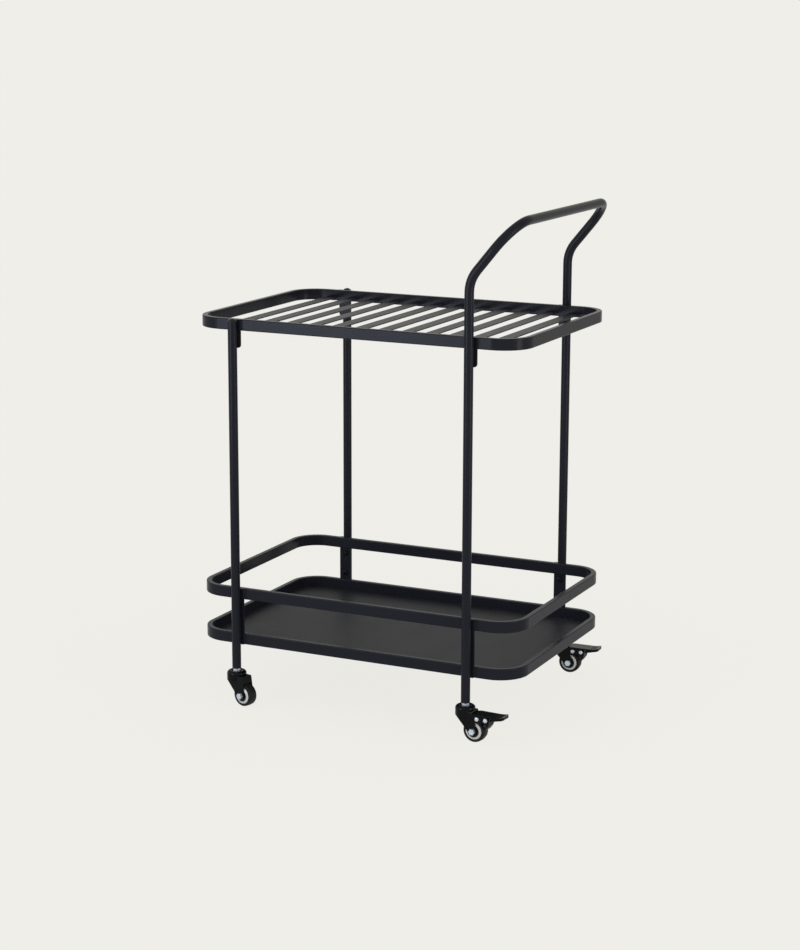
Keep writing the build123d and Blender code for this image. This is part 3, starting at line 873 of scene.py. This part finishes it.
@dataclass
class Caster:
    """One swivel caster with its finishes, and ribs on the pedal of a braked one.

    Attributes:
        corner: which caster it is.
        leg_x: distance of the stem from the middle along X.
        leg_y: distance of the stem from the middle along Y.
        trail: distance of the axle behind the stem.
        radius: radius of the wheel.
        rib: bead of one pedal rib.
        rib_trails: places of the ribs behind the stem.
        rib_half: half length of a rib.
        pedal_top: height of the pedal's level top.
        pedal_bend: where the pedal starts to turn up.
        pedal_curve: radius of the upturned end, at its upper face.
    """

    corner: Corner
    leg_x: float = 0.230
    leg_y: float = 0.2253
    trail: float = 0.021
    radius: float = 0.021
    rib: Bead = field(default_factory=lambda: Bead(radius=0.0009, ripple=0.0, rows=24))
    rib_trails: tuple[float, ...] = (0.0655, 0.0695, 0.0735)
    rib_half: float = 0.0095
    pedal_top: float = 0.0531
    pedal_bend: float = 0.062
    pedal_curve: float = 0.0653

    def centre(self) -> np.ndarray:
        """Middle of the wheel."""
        stem = self.corner.stem(self.leg_x, self.leg_y)
        return stem + self.trail * self.corner.trail + np.array([0.0, 0.0, self.radius])

    def build_ribs(self) -> None:
        """Raise ribs across the upturned end of the pedal.

        A rib at trail x lies at height top + R - sqrt(R^2 - (x - bend)^2), on the arc of
        the upturned end.
        """
        trails = np.array(self.rib_trails)
        rise = self.pedal_curve - np.sqrt(self.pedal_curve**2 - (trails - self.pedal_bend) ** 2)
        stem = self.corner.stem(self.leg_x, self.leg_y)
        middle = stem + trails[:, None] * self.corner.trail
        middle[:, 2] = self.pedal_top + rise
        half = self.rib_half * self.corner.across
        piece = self.rib.build(f"pedal_ribs_{self.corner.label}", middle - half, middle + half)
        fit_piece(piece, Body.BRAKE.at(self.corner), GLOSS_BLACK)

    def dress(self) -> None:
        """Give each piece of the caster its finish."""
        name = self.corner.label
        centre = tuple(float(c) for c in self.centre())
        turn = self.corner.turn
        dress(f"fork_{name}", GLOSS_BLACK)
        dress(f"tyre_{name}", TyreRubber(f"tyre_rubber_{name}", "tyre_black", centre, turn))
        core = CorePlastic(f"wheel_core_{name}", "core_grey", centre, turn)
        dress(f"wheel_core_{name}", core)
        dress(f"wheel_bush_{name}", core)
        dress(f"hub_covers_{name}", BLACK_PLASTIC)
        for node in ("swivel_balls", "axle_bolt", "axle_nut"):
            dress(f"{node}_{name}", BRIGHT_ZINC)
        if self.corner.braked:
            dress(f"brake_pins_{name}", BRIGHT_ZINC)
            dress(f"brake_lever_{name}", GLOSS_BLACK)
            dress(f"brake_shoe_{name}", BLACK_PLASTIC)


@dataclass
class CasterStems:
    """Stems, nuts, washers and covers of the casters that stay with the legs."""

    def dress(self) -> None:
        """Plate the steel and coat the covers."""
        for node in ("caster_stems", "stem_nuts", "swivel_washers"):
            dress(node, BRIGHT_ZINC)
        dress("swivel_caps", GLOSS_BLACK)


@dataclass
class Studio:
    """Pale floor and background, soft lamps and the camera.

    Attributes:
        backdrop: colour of the background.
        floor_half: half width of the floor.
        shade: share of the floor's own light and shade that the camera sees.
        shade_fade: distances from the middle between which that share fades out.
        sky: strength of the world's light on the object.
        sky_colour: colour of that light.
        lens: focal length, in millimetres.
        sensor: long side of the camera's sensor, in millimetres.
        far: greatest distance that the camera sees.
        eye: place of the camera.
        right: camera's right.
        up: camera's up.
        back: direction from the scene to the camera.
    """

    backdrop: Colour = (0.863, 0.855, 0.815)
    floor_half: float = 160.0
    shade: float = 0.06
    shade_fade: tuple[float, float] = (0.45, 1.3)
    sky: float = 0.62
    sky_colour: Colour = (0.94, 0.97, 1.0)
    lens: float = 85.178
    sensor: float = 36.0
    far: float = 400.0
    eye: Point = (1.75119, -3.66585, 1.30471)
    right: Point = (0.901458, 0.432859, 0.002717)
    up: Point = (-0.095644, 0.193056, 0.976515)
    back: Point = (0.422169, -0.880547, 0.215432)

    def blend_by_ray(self, sheet: NodeSheet, light: Socket, shown: Socket) -> Socket:
        """Shader that lights the object in one way and shows as the background in another.

        Args:
            sheet: node tree to draw in.
            light: shader for the light on the object.
            shown: shader that the camera, glossy surfaces and clear ones see.

        Returns:
            The shader.
        """
        path = sheet.add("ShaderNodeLightPath").outputs
        seen = sheet.sums("MAXIMUM", path["Is Camera Ray"], path["Is Glossy Ray"])
        whole = sheet.add("ShaderNodeMixShader")
        sheet.feed(whole.inputs[0], sheet.sums("MAXIMUM", seen, path["Is Transmission Ray"]))
        sheet.feed(whole.inputs[1], light)
        sheet.feed(whole.inputs[2], shown)
        return whole.outputs[0]

    def build_floor(self) -> None:
        """Level floor that shows the background colour and keeps a soft shadow near the cart."""
        half = self.floor_half
        points = np.array([[-half, -half, 0.0], [half, -half, 0.0], [half, half, 0.0], [-half, half, 0.0]])
        floor = put_mesh("floor", points, np.array([[0, 1, 2, 3]]), np.zeros((0, 3), dtype=int))
        material = bpy.data.materials.new("pale_floor")
        material.use_nodes = True
        sheet = NodeSheet(material.node_tree)
        away = sheet.add("ShaderNodeVectorMath", operation="LENGTH")
        sheet.feed(away.inputs[0], sheet.place())
        lit = sheet.add("ShaderNodeBsdfDiffuse")
        lit.inputs["Color"].default_value = (*self.backdrop, 1.0)
        glow = sheet.add("ShaderNodeEmission")
        glow.inputs["Color"].default_value = (*self.backdrop, 1.0)
        shown = sheet.add("ShaderNodeMixShader")
        sheet.feed(shown.inputs[0], sheet.spread(away.outputs["Value"], *self.shade_fade, self.shade, 0.0))
        sheet.feed(shown.inputs[1], glow.outputs[0])
        sheet.feed(shown.inputs[2], lit.outputs[0])
        out = sheet.add("ShaderNodeOutputMaterial")
        shader = self.blend_by_ray(sheet, lit.outputs[0], shown.outputs[0])
        sheet.feed(out.inputs["Surface"], shader)
        floor.data.materials.append(material)
        LOG.info("built floor")

    def build_world(self) -> None:
        """Even light from all sides; the camera, glossy surfaces and clear ones see the background."""
        world = bpy.data.worlds.new("studio")
        world.use_nodes = True
        sheet = NodeSheet(world.node_tree)
        light = sheet.add("ShaderNodeBackground")
        light.inputs["Color"].default_value = (*self.sky_colour, 1.0)
        light.inputs["Strength"].default_value = self.sky
        wall = sheet.add("ShaderNodeBackground")
        wall.inputs["Color"].default_value = (*self.backdrop, 1.0)
        out = sheet.add("ShaderNodeOutputWorld")
        shader = self.blend_by_ray(sheet, light.outputs[0], wall.outputs[0])
        sheet.feed(out.inputs["Surface"], shader)
        bpy.context.scene.world = world

    def lamp(self, name: str, kind: str, place: Point, aim: Point, **settings: object) -> None:
        """Add a lamp.

        Args:
            name: name of the lamp.
            kind: Blender's lamp type.
            place: where it stands.
            aim: point that it faces.
            settings: attributes of the lamp.
        """
        data = bpy.data.lights.new(name, kind)
        for key, value in settings.items():
            setattr(data, key, value)
        lamp = bpy.data.objects.new(name, data)
        lamp.location = place
        lamp.rotation_mode = "QUATERNION"
        lamp.rotation_quaternion = (Vector(aim) - Vector(place)).to_track_quat("-Z", "Y")
        bpy.context.scene.collection.objects.link(lamp)
        LOG.info("lit %s", name)

    def build_lamps(self) -> None:
        """A very broad sun from the upper left, a cool soft box at the front left, one at the right."""
        self.lamp("sun", "SUN", (-2.0, -2.4, 4.0), (0.0, 0.0, 0.3), energy=0.8, angle=math.radians(110.0))
        self.lamp(
            "box_left", "AREA", (-1.2, -2.5, 0.5), (0.0, 0.0, 0.6),
            energy=34.0, shape="RECTANGLE", size=1.2, size_y=0.9, color=(0.76, 0.83, 1.0),
        )
        self.lamp(
            "box_right", "AREA", (2.0, -0.4, 0.6), (0.0, 0.0, 0.6),
            energy=14.0, shape="RECTANGLE", size=0.55, size_y=1.2,
        )

    def build_camera(self) -> None:
        """Camera at the photograph's place and angle."""
        data = bpy.data.cameras.new("photo_camera")
        data.lens = self.lens
        data.sensor_width = self.sensor
        data.clip_end = self.far
        camera = bpy.data.objects.new("photo_camera", data)
        axes = np.array([self.right, self.up, self.back, self.eye]).T
        camera.matrix_world = Matrix([*axes.tolist(), [0.0, 0.0, 0.0, 1.0]])
        bpy.context.scene.collection.objects.link(camera)
        bpy.context.scene.camera = camera

    def build(self) -> None:
        """Set up the whole studio."""
        bpy.context.scene.view_settings.view_transform = "Standard"
        self.build_floor()
        self.build_world()
        self.build_lamps()
        self.build_camera()


def main() -> None:
    """Dress the cart piece by piece, then set up the studio."""
    logging.basicConfig(level=logging.INFO, format="%(name)s: %(message)s")
    tubes, shelf, tray = TubeFrame(), TopShelf(), LowerTray()
    tubes.dress()
    tubes.build_welds()
    shelf.dress()
    shelf.build_welds()
    tray.dress()
    tray.build_tacks()
    CasterStems().dress()
    for corner in Corner:
        caster = Caster(corner)
        caster.dress()
        if corner.braked:
            caster.build_ribs()
    Studio().build()


if __name__ == "__main__":
    main()
